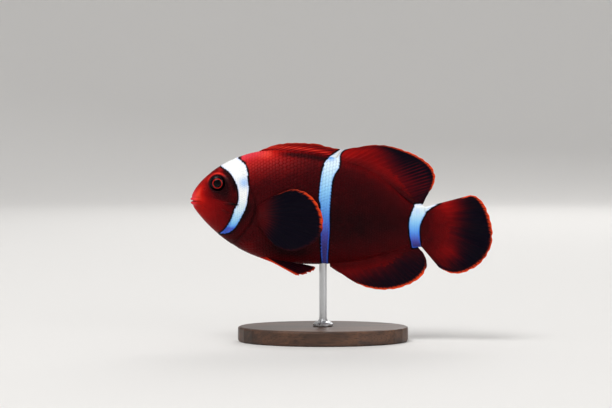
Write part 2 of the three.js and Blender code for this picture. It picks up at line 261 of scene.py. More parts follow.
def pale_bars(x, z):
    """Signed distance into the nearest pale bar, over 0 inside it, and how pale it is there."""
    depth, share = np.full(np.shape(x), OUTSIDE_BARS), np.zeros(np.shape(x))
    for bar in BARS:
        top, foot = bar["heights"]
        inside = np.minimum(behind(bar["front"], x, z), -behind(bar["rear"], x, z))
        inside = np.minimum(inside, np.minimum(top - z, z - foot))
        nearer = inside > depth
        depth = np.where(nearer, inside, depth)
        # Painted light from above: white high on the bar, painted violet shade lower down.
        up = np.clip((z - bar["violet"]) / (bar["white"] - bar["violet"]), 0, 1) ** bar["fade"]
        share = np.where(nearer, np.maximum(up, bar["least"]), share)
    return depth, share


def spot(x, z, at, size):
    """A soft oval: 1 in its middle, and 1/e at its half width or half height from there."""
    return bump(np.hypot((x - at[0]) / size[0], (z - at[1]) / size[1]), 0, 1)


# Soft blue clouds on the bars: their [x, z], their radius and how strong they are.
CLOUDS = [
    ((21.6, 7.4), 2, 0.7), ((56.4, 18.3), 1.8, 1), ((55.4, 16.9), 1.2, 0.4), ((90.4, -3.8), 1.3, 0.3),
]


def cloudiness(x, z):
    """How much of the clouds' blue there is over a bar's own colour."""
    return sum(strength * spot(x, z, at, (wide, wide)) for at, wide, strength in CLOUDS)


def redness(x, z):
    """From 0, near black maroon, to 1, bright red: the sum of soft lights less that of the shades, in
    part the fish's own tones and in part painted light and painted shade.

    Brightest at the snout, then along the nape and the belly line; darkest behind and below the eye
    and on the rear flank.
    """
    below_back = np.maximum(outline_height(BACK, x) - z, 0)
    above_belly = np.maximum(z - outline_height(BELLY, x), 0)
    from_eye = np.hypot(x - EYE_AT[0], z - EYE_AT[1])

    # The face, its own brighter red with painted light from above and in front: the snout, a streak
    # from there up the forehead, the corner of the mouth, a spot over the eye and one before the first
    # bar.
    up_streak, off_streak = 0.5 * (x - 3.4) + 0.87 * (z - 3.6), 0.87 * (x - 3.4) - 0.5 * (z - 3.6)
    light = 0.29 * spot(x, z, (6, -1), (9.5, 9.5))
    light += 0.46 * spot(up_streak, off_streak, (0, 0), (6, 1.9))
    light += 0.16 * spot(x, z, (5, 0.9), (1.8, 1.8))
    light *= ease(24, 15, x)
    light += 0.3 * spot(x, z, (12, 12.6), (1.3, 1.3)) + 0.14 * spot(x, z, (17, 3.6), (1.8, 2.88))
    # A ring over the eye, weaker in front.
    brow = 0.66 * bump(from_eye, 4, 0.43) * (1 - 0.4 * ease(10.5, 8.5, x))
    brow += 0.16 * bump(from_eye, 5, 0.9)
    light += brow * ease(0, 2.2, z - 8.6 + 1.7 * ease(12, 9, x))
    # Painted light from above on the nape, with a painted highlight where the dorsal fin starts,
    # and on the back behind the second bar; then the belly line, the front half of the body and the
    # tail stalk.
    light += 0.62 * bump(below_back, 0, 9) * ease(62, 20, x) * ease(13, 21, x)
    light += 0.2 * spot(x, z, (30.5, 18.6), (4, 2.5))
    light += 0.2 * bump(below_back, 0, 6) * ease(40, 60, x)
    light += 0.16 * bump(above_belly, 0, 7)
    light += 0.12 + 0.1 * ease(60, 20, x) + 0.08 * ease(88, 97, x)

    # Painted shade behind and below the eye, down to the line of the cheek bone, and the eye's own
    # dark rim.
    above_cheek = ease(-0.6, 0.7, z - 2.4 + 0.243 * (x - 4.2))
    shade = 0.42 * spot(x, z, (13.6, 4.8), (4.485, 5.07)) * above_cheek
    shade += 0.6 * bump(from_eye, 2.85, 0.55)
    # Painted shade in the groove of the gill opening, and both sides of the first bar.
    shade += 0.1 * bump(behind(GILL_EDGE, x, z), 0.5, 0.5) * ease(12, 9, z)
    before_bar = bump(behind(BARS[0]["front"], x, z), -0.9, 0.9)
    shade += 0.28 * before_bar * ease(3, 6, z) * ease(13, 11, z)
    shade += 0.14 * bump(behind(BARS[0]["rear"], x, z), 0.9, 1.1) * ease(2, -4, z)
    # Painted shadow in the groove under the folded dorsal spines and on the belly over the paired
    # fins, and the flank.
    shade += 0.3 * bump(below_back, 1.9, 0.9) * ease(32, 40, x) * ease(57, 53, x)
    shade += 0.3 * spot(x, z, (37.5, -18.5), (8, 4.2)) + 0.12 * spot(x, z, (45, -20.5), (7, 2.8))
    shade += 0.11 * spot(x, z, (66, -9), (19.8, 9)) + 0.1 * spot(x, z, (24.5, -4), (3.5, 5.25))
    return np.clip(light - shade, 0, 1)


def painted_pink_sheen(x, z):
    """Share of a painted pink sheen, reflected light from above, on the lips and the nape."""
    below_back = np.maximum(outline_height(BACK, x) - z, 0)
    nape = 0.9 * bump(below_back, 0.5, 2.2) * ease(34, 22, x) * ease(14, 20, x)
    return np.clip(nape + 0.8 * ease(3.4, 0.8, x), 0, 1)


def linear(code):
    """sRGB hex to the linear colour that shaders take."""
    parts = [int(code[i:i + 2], 16) / 255 for i in (1, 3, 5)]
    return [c / 12.92 if c <= 0.04045 else ((c + 0.055) / 1.055) ** 2.4 for c in parts] + [1]


def feed(node, inputs):
    """Gives each input its value, or a link where that is the output of another node."""
    for name, value in inputs.items():
        if isinstance(value, bpy.types.NodeSocket):
            node.id_data.links.new(value, node.inputs[name])
        else:
            node.inputs[name].default_value = value


def add_node(tree, kind, inputs=None, out=0, stops=(), **settings):
    """Adds a node with its settings and returns one of its outputs.

    stops are a colour ramp's, with its two ends first.
    """
    made = tree.nodes.new("ShaderNode" + kind)
    for name, value in settings.items():
        setattr(made, name, value)
    for k, (place, code) in enumerate(stops):
        ramp = made.color_ramp.elements
        stop = ramp[k] if k < 2 else ramp.new(place)
        stop.position, stop.color = place, linear(code)
    feed(made, inputs or {})
    return made.outputs[out]


def start_material(name):
    """A node material with its principled shader."""
    material = bpy.data.materials.new(name)
    material.use_nodes = True
    return material, material.node_tree, material.node_tree.nodes["Principled BSDF"]


FLESH = [(0.0, "#1e0306"), (1.0, "#ee4432"), (0.25, "#410408"), (0.5, "#7e080a"), (0.75, "#ba150f")]
# The pale bars, from violet painted shade up to white under painted light from above.
PALE = [
    (0.0, "#423a7c"), (1.0, "#fcfefd"), (0.1, "#4e50ae"), (0.2, "#5676dc"), (0.3, "#5c98f2"),
    (0.42, "#74b8fc"), (0.55, "#90cffe"), (0.7, "#b4e0fd"), (0.85, "#def2fe"),
]
# The rose is the colour of a painted pink sheen.
SHEEN_PINK, BAR_EDGE, CLOUD, GLOW = "#e63c50", "#080308", "#78b8fa", "#1e6cf4"
WEB_BLACK, HEM = "#060410", "#f2481c"
MOTTLES, GRAINS = 0.26, 2.4  # to the millimetre


def wet_skin(name, scaled=False, finned=False):
    """Living fish skin under a film of mucus: soft gloss, dark maroon to red, bars edged in black.

    The reds hold painted light and shade, and a painted pink sheen lies on the lips and nape.
    The bars are white under a painted bluish light from above; they turn blue and violet towards the
    belly as painted shade, and are bluest at the edges.
    """
    material, tree, shader = start_material(name)
    titles = ["bar", "high", "cloud", "red", "painted_sheen"] + ["rim"] * scaled + ["dark", "edge"] * finned
    value = {
        title: add_node(tree, "Attribute", out="Fac", attribute_name=title) for title in titles
    }
    place = add_node(tree, "TexCoord", out="Object")
    mottle = add_node(tree, "TexNoise", {
        "Vector": place, "Scale": MOTTLES / MM, "Detail": 3, "Roughness": 0.6,
    })
    grain = add_node(tree, "TexNoise", {"Vector": place, "Scale": GRAINS / MM, "Detail": 2})
    shift = add_node(tree, "MapRange", {
        "Value": mottle, "From Min": 0.3, "From Max": 0.7, "To Min": -0.035, "To Max": 0.035,
    })
    warm = add_node(tree, "Math", {0: value["red"], 1: shift}, operation="ADD")
    # A painted pink sheen, reflected light from above, mixes into the reds.
    sheen_mix = add_node(tree, "Math", {0: value["painted_sheen"], 1: warm}, operation="MULTIPLY")
    rim, inside = (
        add_node(tree, "MapRange", {
            "Value": value["bar"], "From Min": low, "From Max": high,
        }, interpolation_type="SMOOTHSTEP")
        for low, high in ((-0.85, -0.35), (-0.08, 0.16))
    )
    most = add_node(tree, "MapRange", {"Value": value["high"], "To Min": 0.5, "To Max": 0.25})
    glow = add_node(tree, "MapRange", {
        "Value": value["bar"], "From Min": 0.15, "From Max": 0.7, "To Min": most, "To Max": 0,
    }, interpolation_type="SMOOTHSTEP")

    web = [(value["dark"], WEB_BLACK), (value["edge"], HEM)] if finned else []
    colours = []
    for along, stops, layers in (
        (warm, FLESH, [(sheen_mix, SHEEN_PINK), *web, (rim, BAR_EDGE)]),
        (value["high"], PALE, [(value["cloud"], CLOUD), (glow, GLOW)]),
    ):
        colour = add_node(tree, "ValToRGB", {"Fac": along}, stops=stops)
        for share, code in layers:
            mixed = {0: share, 6: colour, 7: linear(code)}
            colour = add_node(tree, "Mix", mixed, out=2, data_type="RGBA")
        colours.append(colour)
    mixed = {0: inside, 6: colours[0], 7: colours[1]}
    colour = add_node(tree, "Mix", mixed, out=2, data_type="RGBA")
    if scaled:
        shade = add_node(tree, "MapRange", {
            "Value": value["rim"], "From Min": 0.2, "From Max": 1.0, "To Min": 1.08, "To Max": 0.8,
        })
        mixed = {0: 1.0, 6: colour, 7: shade}
        colour = add_node(tree, "Mix", mixed, out=2, data_type="RGBA", blend_type="MULTIPLY")
    rough = add_node(tree, "MapRange", {
        "Value": grain, "From Min": 0.3, "From Max": 0.7, "To Min": 0.3, "To Max": 0.44,
    })
    dimples = add_node(tree, "Bump", {"Height": grain, "Strength": 0.25, "Distance": 0.06 * MM})
    feed(shader, {
        "Base Color": colour, "Roughness": rough, "Normal": dimples,
        "Specular IOR Level": 0.07, "IOR": 1.4,
    })
    return material


def add_mesh(name, points, faces, material):
    """A smooth mesh from points in the frame and faces."""
    mesh = bpy.data.meshes.new(name)
    mesh.from_pydata(np.asarray(points).reshape(-1, 3), [], faces)
    mesh.polygons.foreach_set("use_smooth", np.ones(len(mesh.polygons), bool))
    mesh.materials.append(material)
    made = bpy.data.objects.new(name, mesh)
    bpy.context.scene.collection.objects.link(made)
    return made


def add_piece(name, points, faces, material, slot, **values):
    """A mesh that belongs to the fish, with one attribute for each named value."""
    piece = add_mesh(name, points, faces, material)
    for title, value in values.items():
        layer = piece.data.attributes.new(title, "FLOAT", "POINT")
        layer.data.foreach_set("value", np.asarray(value, np.float32).ravel())
    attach(piece, "root")
    return piece


def grid_faces(rows, columns, closed=False):
    """Quads over a grid of points stored row by row; closed joins the last column to the first."""
    across = np.arange(columns if closed else columns - 1)
    down = np.arange(rows - 1)[:, None]
    right = (across + 1) % columns
    corners = (down * columns + across, (down + 1) * columns + across,
               (down + 1) * columns + right, down * columns + right)
    return np.stack(corners, axis=-1).reshape(-1, 4)


def tube_faces(rings, sides, step=1):
    """Quads round a tube stored ring by ring, with a fan onto each of the two points that follow.

    A step of -1 turns every face over.
    """
    count = rings * sides
    here = np.arange(sides)
    there = (here + 1) % sides
    first = np.stack((here, there, np.full(sides, count)), axis=-1)
    last = np.stack((there, here, np.full(sides, sides + 1)), axis=-1) + count - sides
    faces = []
    for group in (grid_faces(rings, sides, closed=True), first, last):
        faces += group[:, ::step].tolist()
    return faces


def skin_values(x, z):
    """What the skin's colours follow: depth into a bar, its paleness, clouds, redness, painted sheen.
    """
    depth, share = pale_bars(x, z)
    return {
        "bar": depth, "high": share, "cloud": np.clip(cloudiness(x, z), 0, 1),
        "red": redness(x, z), "painted_sheen": painted_pink_sheen(x, z),
    }


rings = np.concatenate([k + np.arange(n) / n for k, n in enumerate(SKIN_RINGS)])[1:]
sides = math.tau * np.arange(SKIN_SIDES) / SKIN_SIDES
ring_grid, side_grid = np.meshgrid(rings, sides, indexing="ij")
skin_points = skin_point(ring_grid, side_grid)
tips = [skin_point(np.full(8, float(end)), np.arange(8.0)).mean(0) for end in BODY_ENDS]
skin_flat = np.vstack((skin_points.reshape(-1, 3), tips))
skin = add_piece(
    "skin", to_world(skin_flat), tube_faces(len(rings), SKIN_SIDES, -1),
    wet_skin("wet maroon skin"), "maroon_skin", **skin_values(skin_flat[:, 0], skin_flat[:, 2]),
)
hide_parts("head", "lower_jaw", "gill_cover_left", "gill_cover_right", "trunk", "tail_stalk")

# ---- Scales ----
# Small round-backed scales in slanting rows, each rooted under the one in front of it and free at
# its rear edge. They are a plate of clear bone in a pocket of skin, largest on the flank and
# smallest on the face; the snout, the lips and the rims of the eyes are bare.
COLUMN_PITCH = 1.25  # on the deepest part of the flank
SHRINK = 0.6  # how the pitch follows the girth: 1 would keep each scale's proportions
ROWS_ROUND = 72
SCALE_REACH, SCALE_SPREAD = 1.95, 1.22  # a scale's length in columns and width in rows
SCALE_LIFT, SCALE_SUNK, SCALE_DOME, SCALE_THICK = 0.2, 0.06, 0.05, 0.06
SCALE_SIDES, SCALE_INNER = 10, 0.62  # its inner ring is this share of its outer one
PATCH = 0.003  # width of a scale's place on the map
MEASURES = 1601  # points along the body

u_line = np.linspace(*BODY_ENDS, MEASURES)
side_line = body_oval(u_line, np.full_like(u_line, math.pi / 2))
tall_line = np.linalg.norm(bezier_chain(BACK, u_line) - bezier_chain(BELLY, u_line), axis=-1)
girth_line = tall_line + 2 * bezier_chain(HALF_WIDTH, u_line)[:, 0]
pitch_line = COLUMN_PITCH * (np.maximum(girth_line, 1) / girth_line.max()) ** SHRINK
steps = np.linalg.norm(np.diff(side_line, axis=0), axis=1) / pitch_line[1:]
column_line = np.concatenate(([0], np.cumsum(steps)))


def grows_scales(point):
    """True where the skin is scaled: not on the snout, round the eyes or where edges and fins rise."""
    x, y, z = np.moveaxis(point, -1, 0)
    from_eye = np.hypot(x - EYE_AT[0], z - EYE_AT[1])
    gill = (np.abs(behind(GILL_EDGE, x, z)) < 0.55) & (z < 11)
    cheek = (np.abs(behind(CHEEK_EDGE, x, z) - 0.1) < 0.3) & (z < 7) & (z > -13)
    back_fins = (np.abs(y) < 0.9) & (x > 28) & (z > -2)
    under_fins = (np.abs(y) < 0.9) & (x > 57) & (z < -10) & (x < 90)
    bare = (x < 9 - 0.1 * z) | (from_eye < 4.1) | (x > 97)
    return ~(bare | gill | cheek | back_fins | under_fins)


# One scale: its centre, an inner and an outer ring on top, and the outer ring and centre below.
spin = math.tau * np.arange(SCALE_SIDES) / SCALE_SIDES
radius = np.concatenate(([0], np.full(SCALE_SIDES, SCALE_INNER), np.ones(2 * SCALE_SIDES), [0]))
angle = np.concatenate(([0], spin, spin, spin, [0]))
below = np.arange(len(radius)) >= 1 + 2 * SCALE_SIDES
scale_along = 0.5 + 0.5 * radius * np.cos(angle)
scale_across = 0.5 * radius * np.sin(angle)
scale_rise = SCALE_LIFT * scale_along - SCALE_SUNK + SCALE_DOME * (1 - radius**2)
scale_rise = np.where(below, SCALE_LIFT * scale_along - SCALE_SUNK - SCALE_THICK, scale_rise)
k, k_next = np.arange(SCALE_SIDES), (np.arange(SCALE_SIDES) + 1) % SCALE_SIDES
inner, outer, under = 1, 1 + SCALE_SIDES, 1 + 2 * SCALE_SIDES
scale_triangles = [(0, inner + b, inner + a) for a, b in zip(k, k_next)]
scale_triangles += [(under + a, under + b, len(radius) - 1) for a, b in zip(k, k_next)]
scale_quads = [(inner + a, inner + b, outer + b, outer + a) for a, b in zip(k, k_next)]
scale_quads += [(outer + a, outer + b, under + b, under + a) for a, b in zip(k, k_next)]


def add_scales(name, surface, column, row, size, place, step=1, red=None):
    """Scales rooted at column and row, each vertex put on surface(column, row, lift) by itself.

    size is each scale's share of the largest; place gives the centre of its patch on the map; a
    step of -1 turns every face over; red is their redness where it isn't the body's.
    """
    many = (len(column), 1)
    lift = scale_rise * size[:, None] ** 0.8 * random.uniform(0.85, 1.1, many)
    columns = column[:, None] + SCALE_REACH * scale_along
    rows = row[:, None] + SCALE_SPREAD * scale_across
    points = surface(columns, rows, lift)
    first = len(radius) * np.arange(len(column))[:, None, None]
    faces = (first + np.array(scale_triangles)[:, ::step]).reshape(-1, 3).tolist()
    faces += (first + np.array(scale_quads)[:, ::step]).reshape(-1, 4).tolist()
    root = surface(column, row, np.zeros(len(column)))
    marked = 0.75 * points + 0.25 * root[:, None, :]  # each scale leans to one colour
    values = skin_values(marked[..., 0], marked[..., 2])
    if red is not None:
        values["red"] = np.broadcast_to(red[:, None], points.shape[:2])
    values["rim"] = np.broadcast_to(radius**2 * np.clip(scale_along, 0, 1), points.shape[:2])
    piece = add_piece(name, to_world(points), faces, scaled_skin, "maroon_skin", **values)
    patch = place[:, None, :] + PATCH * np.stack((scale_along - 0.5, scale_across), axis=-1)
    corner = np.empty(len(piece.data.loops), int)
    piece.data.loops.foreach_get("vertex_index", corner)
    layer = piece.data.uv_layers.new(name="OFBake")
    layer.data.foreach_set("uv", patch.reshape(-1, 2)[corner].astype(np.float32).ravel())


def body_scales(name, side, chosen, fine):
    """Scales on one side where chosen(x, z) holds, in staggered columns along and rows round.

    fine scales the whole lattice. Each scale's patch on the map is at its column and row.
    """
    rows = int(ROWS_ROUND / fine)
    columns = np.arange(1, int(column_line[-1] / fine))
    column, row = np.meshgrid(columns, np.arange(rows), indexing="ij")
    row = row + 0.5 * (column % 2) + random.uniform(-0.04, 0.04, column.shape)
    column = column + random.uniform(-0.05, 0.05, column.shape)

    def surface(column, row, lift):
        """A point over the skin."""
        u = np.interp(column * fine, column_line, u_line)
        return skin_point(u, math.tau * row / rows, lift)

    root = surface(column, row, 0.0)
    kept = grows_scales(root) & chosen(root[..., 0], root[..., 2]) & (root[..., 1] * side > 0)
    column, row = column[kept], row[kept]
    size = fine * np.interp(column * fine, column_line, pitch_line) / COLUMN_PITCH
    place = np.stack((column * fine / column_line[-1], (row + 1) / (rows + 2)), axis=-1)
    add_scales(name, surface, column, row, size, place)


def on_face(x, z):
    """Ahead of the gill cover's edge, and of the same line carried over the nape."""
    return behind(GILL_EDGE, x, z) < 0


scaled_skin = wet_skin("scaled maroon skin", scaled=True)
FACE_FINE = 0.68  # the size of its scales, to that of the others
FRONT_ENDS = 54
COATS = (
    ("face", on_face, FACE_FINE),
    ("front", lambda x, z: ~on_face(x, z) & (x < FRONT_ENDS), 1),
    ("rear", lambda x, z: x >= FRONT_ENDS, 1),
)
SIDES = {"left": -1, "right": 1}  # which way each points on the Y axis
for hand, side in SIDES.items():
    for part, chosen, fine in COATS:
        body_scales("scales_%s_%s" % (part, hand), side, chosen, fine)

# ---- Fins ----
# Thin webs of skin on bony rays, each ray splitting twice towards the margin, which is notched
# between the rays. The bases are fleshy; the webs darken to navy black inside an orange-red hem.
FIN_ROWS, RAY_SAMPLES = 34, 16
hem_skin = wet_skin("webbed fin skin", finned=True)


def fin_web(root, margin, rays, lean=0.0, sweep=1.0, notch=0.3, fleshy=0.8, thin=0.12,
            ray_rise=0.12, wave=0.0):
    """Middle surface of a fin and its half thickness on a grid of s along it by t from the root.

    The surface is ruled from the root line at s to the power sweep to the margin line at s to the
    power 1 / sweep, so that a sweep over 1 lays the rays back. A ray is a ridge where rays * s is
    halfway between whole numbers; it splits in two and again in four as t grows.
    """
    s_line = np.linspace(0, 1, rays * RAY_SAMPLES + 1)
    s, t = np.meshgrid(s_line, np.linspace(0, 1, FIN_ROWS), indexing="ij")
    start = smooth_curve(root, s_line**sweep)[:, None, :]
    end = smooth_curve(margin, s_line ** (1 / sweep))[:, None, :]
    length = np.linalg.norm(end - start, axis=-1)
    ray = rays * (s + lean * (1 - t))
    off = ray % 1 - 0.5
    depth = notch * (0.7 + 0.5 * np.sin(2.4 * np.floor(ray + 0.5)))
    cut = np.minimum(depth / length, 0.3) * t**4 * (0.5 - 0.5 * np.cos(math.tau * off))
    reach = t * (1 - cut)
    middle = start + (end - start) * reach[..., None]
    once = np.abs(np.abs(off) - 0.25 * ease(0.3, 0.95, t))
    twice = np.abs(once - 0.125 * ease(0.62, 1.1, t))
    ridge = bump(twice, 0, 0.15 - 0.09 * t)
    half = thin + (fleshy - thin) * ease(0.55, 0, t) + ray_rise * ridge * (1 - 0.55 * t)
    half *= np.sqrt(1 - (1 - np.clip(np.minimum(s, 1 - s) * rays / 0.5, 0.05, 1)) ** 2)
    half *= np.sqrt(1 - (1 - np.clip((1 - t) / 0.04, 0.1, 1)) ** 2)
    normal = np.cross(np.gradient(middle, axis=0), np.gradient(middle, axis=1))
    normal /= np.linalg.norm(normal, axis=-1, keepdims=True)
    middle = middle + normal * (wave * t**2 * np.sin(math.tau * s * rays / 3.5))[..., None]
    return SimpleNamespace(
        rays=rays, s=s, t=t, middle=middle, x=middle[..., 0], z=middle[..., 2], normal=normal,
        half=half, ridge=ridge, inwards=length * (1 - reach),
    )


SHEATH_PITCH = 0.85
MAP_MARGIN, MAP_SIDE = 0.02, 0.46  # round the scales on their map, and the height of one side's part


def add_sheath(name, web, beyond, height, red):
    """Small scales over the base of a fin, on both sides, from the body's outline out to height.

    beyond is the distance outside the body's outline on the fin's grid, and height is given for
    every s. A column is one pitch along the ray from the outline, a row one pitch along the fin.
    """
    s_line, t_line = web.s[:, 0], web.t[0]
    first = np.argmax(beyond > 0, axis=1)
    emerges = t_line[first]
    length = np.linalg.norm(web.middle[:, -1] - web.middle[:, 0], axis=-1)
    foot = web.middle[np.arange(len(s_line)), first]
    run = np.linalg.norm(np.diff(foot, axis=0), axis=1)
    rows = int(run.sum() / SHEATH_PITCH)
    row_line = np.concatenate(([0], np.cumsum(run))) / run.sum() * rows

    def on_grid(values, s_at, t_at):
        """Reads a grid of values between its points."""
        i, j = s_at * (len(s_line) - 1), t_at * (len(t_line) - 1)
        i0 = np.clip(np.floor(i).astype(int), 0, len(s_line) - 2)
        j0 = np.clip(np.floor(j).astype(int), 0, len(t_line) - 2)
        spread = (...,) + (None,) * (values.ndim - 2)
        a, b = (i - i0)[spread], (j - j0)[spread]
        low = values[i0, j0] * (1 - a) + values[i0 + 1, j0] * a
        high = values[i0, j0 + 1] * (1 - a) + values[i0 + 1, j0 + 1] * a
        return low * (1 - b) + high * b

    def place_on(column, row):
        """From columns and rows to s and t."""
        s_at = np.interp(row, row_line, s_line)
        out = column * SHEATH_PITCH / np.interp(s_at, s_line, length)
        return s_at, np.clip(np.interp(s_at, s_line, emerges) + out, 0, 1)

    columns = np.arange(-3, int(height.max() / SHEATH_PITCH))
    column, row = np.meshgrid(columns, np.arange(1, rows - 1), indexing="ij")
    row = row + 0.5 * (column % 2) + random.uniform(-0.05, 0.05, row.shape)
    s_at, t_at = place_on(column, row)
    ends = np.interp(s_at, s_line, height) / SHEATH_PITCH * random.uniform(0.75, 1.05, row.shape)
    chosen = (column < ends - SCALE_REACH) & (t_at > 0)
    column, row = column[chosen] + random.uniform(-0.05, 0.05, chosen.sum()), row[chosen]
    s_at, t_at = place_on(column, row)
    size = 0.66 - 0.2 * np.clip(column * SHEATH_PITCH / height.max(), 0, 1)
    tint = on_grid(red, s_at, t_at)
    for k, (hand, side) in enumerate((("left", 1), ("right", -1))):
        def surface(column, row, lift):
            """A point over the fin."""
            at = place_on(column, row)
            out = on_grid(web.half, *at) + lift
            return on_grid(web.middle, *at) + side * on_grid(web.normal, *at) * out[..., None]

        high = MAP_MARGIN + MAP_SIDE * (t_at + (1 + MAP_MARGIN) * k)
        place = np.stack((MAP_MARGIN + (1 - 2 * MAP_MARGIN) * s_at, high), axis=-1)
        add_scales(name + "_" + hand, surface, column, row, size, place, side, tint)


def add_fin(name, web, values, mirrored=False):
    """A closed web: the middle surface pushed out to both sides and joined along its borders."""
    out = web.normal * web.half[..., None]
    sides = np.stack((web.middle + out, web.middle - out))
    if mirrored:
        sides[..., 1] *= -1
    rows, columns = web.s.shape
    near = grid_faces(rows, columns)
    border = np.concatenate((
        np.arange(columns), np.arange(1, rows) * columns + columns - 1,
        (rows - 1) * columns + np.arange(columns - 2, -1, -1), np.arange(rows - 2, 0, -1) * columns,
    ))
    ahead = np.roll(border, -1)
    far = web.s.size
    band = np.stack((border, ahead, ahead + far, border + far), axis=-1)
    faces = np.vstack((near, near[:, ::-1] + far, band))
    if mirrored:
        faces = faces[:, ::-1]
    both = {title: np.stack((value, value)) for title, value in values.items()}
    piece = add_piece(name, to_world(sides), faces.tolist(), hem_skin, "fin_membrane", **both)
    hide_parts(name)


EYE_POWER = 2.2  # turns a share as the eye sees it into one of light


def fin_values(web, red, dark, edge, hem=0.9, ray_tint=0.5, ray_red=0.1, barred=True):
    """Colours of a fin: its own redness, black web between redder rays, and a hem of hem mm.

    dark and edge say how strong the black and the hem look, from 0 to 1.
    """
    depth, share = pale_bars(web.x, web.z)
    hem_line = ease(hem * 1.3, hem * 0.75, web.inwards + 0.45 * (0.5 - web.ridge))
    return {
        "red": np.clip(red + ray_red * (web.ridge - 0.5) * ease(0.1, 0.4, web.t), 0, 1),
        "dark": 1 - (1 - np.clip(dark * (1 - ray_tint * web.ridge), 0, 1)) ** EYE_POWER,
        "edge": np.clip(edge, 0, 1) ** EYE_POWER * hem_line,
        "bar": depth if barred else np.full_like(depth, OUTSIDE_BARS),
        "high": share,
    }


def fine_rays(web):
    """Thin lines, 1 on each half ray and 0 between."""
    return (0.5 - 0.5 * np.cos(4 * math.pi * web.rays * web.s)) ** 3


# The spiny part of the dorsal fin lies folded on the back, spine over spine.
web = fin_web(
    [(27.4, 0, 18.8), (43, 0, 18.6), (57.1, 0, 15.8)],
    [(27.6, 0, 20), (31.4, 0, 21.6), (36, 0, 22.8), (41, 0, 23.2), (50, 0, 22.9),
     (54, 0, 21.9), (60.5, 0, 20.5)],
    rays=10, lean=0.45, notch=0.2, fleshy=0.9, thin=0.22, ray_rise=0.3,
)
s, above = web.s, web.z - outline_height(BACK, web.x)
red = 0.46 + 0.3 * bump(above, 0.9, 0.8) + 0.22 * web.ridge - 0.12 * ease(0.6, 1, s)
dark = 0.28 * (1 - web.ridge) * ease(0.9, 2, above)
# Painted shadow along the fin's foot, where it lies folded against the back.
dark += 0.28 * bump(above, -0.6, 0.6) * ease(0.25, 0.5, s)
edge = 0.58 * ease(0.1, 0.3, s)
add_fin("dorsal_fin_spiny", web, fin_values(web, red, dark, edge, hem=0.5))

# The soft dorsal fin is a high rounded sail over the rear of the body.
web = fin_web(
    [(57.5, 0, 15.7), (68, 0, 12.6), (78, 0, 6.9), (91.6, 0, -3.4)],
    [(61, 0, 20.5), (66, 0, 21.4), (73.6, 0, 22.4), (80, 0, 21.8), (88, 0, 19.2), (94, 0, 15.8),
     (97.4, 0, 11.4), (97, 0, 6.6), (94.2, 0, 1.8), (93, 0, -0.8)],
    rays=16, sweep=1.3, wave=0.25,
)
s, x, z = web.s, web.x, web.z
above = z - outline_height(BACK, x)
near_hem = ease(5, 0.5, web.inwards)
dark = ease(76.5, 92, x + 0.55 * (z - 10)) * (0.64 + 0.34 * ease(5, 14, z))
dark += 0.3 * near_hem * ease(62, 70, x) * ease(7, 12, z)
lines = fine_rays(web) * ease(0.42, 0.6, s) * ease(0.5, 4, web.inwards)
dark = np.minimum(dark, 0.98) * (1 - 0.62 * lines)
red = 0.31 + 0.15 * ease(-1.5, 2.5, above) + 0.14 * ease(0.3, 0.05, s)
red -= 0.1 * ease(0.8, 0.92, s) + 0.11 * ease(0.6, 0.8, s) * ease(9, 4, above)
edge = ease(0.02, 0.12, s) * (0.6 + 0.4 * ease(0.2, 0.4, s))
edge *= 1 - ease(0.79, 0.92, s)
soft = fin_values(web, red, dark, edge, hem=0.7, ray_tint=0.08, ray_red=0.06)
add_fin("dorsal_fin_soft", web, soft)
add_sheath("scales_dorsal", web, above, 5.5 * bump(s[:, 0], 0.5, 0.4), red)

# The anal fin answers it below.
web = fin_web(
    [(55.5, 0, -23.8), (66, 0, -23.2), (78, 0, -20.2), (90.2, 0, -16.6)],
    [(55.8, 0, -26.4), (61, 0, -29.6), (66, 0, -32.6), (71, 0, -34.6), (77, 0, -35.4),
     (83, 0, -34.7), (89, 0, -32.4), (93, 0, -29), (94.4, 0, -25.6), (93.9, 0, -22.4),
     (92.7, 0, -20.2), (91.4, 0, -19.3)],
    rays=14, sweep=1.2, wave=0.25,
)
s, x, z = web.s, web.x, web.z
below_body = outline_height(BELLY, x) - z
dark = 0.74 * ease(-7, 7, 0.45 * (x - 72) - (z + 30))
dark += 0.18 * ease(3.5, 0.8, web.inwards) * ease(78, 84, x)
dark += 0.22 * spot(x, z, (84, -25), (5, 2.6))
dark *= 1 - 0.14 * fine_rays(web) * ease(0.4, 0.7, s)
dark *= 1 - 0.35 * ease(0.84, 0.96, s)
red = 0.27 + 0.12 * bump(below_body, 4, 3.5) * ease(0.9, 0.3, s) - 0.06 * ease(0.6, 1, s)
edge = ease(0.1, 0.26, s) * (1 - 0.75 * ease(0.74, 0.86, s))
add_fin("anal_fin", web, fin_values(web, red, dark, edge, ray_tint=0.1, ray_red=0.05))
add_sheath("scales_anal", web, below_body, 5 * bump(s[:, 0], 0.5, 0.4), red)

# The tail fin is a rounded fan, with a hem along its upper and lower rays too.
web = fin_web(
    [(93.2, 0, -2.4), (95, 0, -10), (91.8, 0, -17.6)],
    [(111.8, 0, 2.6), (115, 0, 1.4), (118, 0, -3), (119.7, 0, -8), (120.4, 0, -13.4),
     (119.5, 0, -18.4), (116.9, 0, -23), (112.7, 0, -26.6), (107.8, 0, -28.5), (103.4, 0, -28.4),
     (99.2, 0, -26.3)],
    rays=15, notch=0.35, fleshy=1.7, wave=0.3,
)
web.inwards = np.minimum(web.inwards, np.linalg.norm(web.middle - web.middle[:1], axis=-1))
s, x, z = web.s, web.x, web.z
streak = 0.5 * np.sin(math.tau * s * 11 + 1) + 0.7 * np.sin(math.tau * s * 5.3)
low_share = ease(-18, -24, z)
dark_from = 103.5 - 4 * bump(z, -14, 4) - 3 * low_share
dark = 0.97 * ease(dark_from, 116 - 3 * low_share, x + streak)
dark = np.maximum(dark, 0.8 * ease(4.5, 0.8, web.inwards) * ease(0.7, 0.82, s))
dark *= 1 - 0.1 * fine_rays(web)
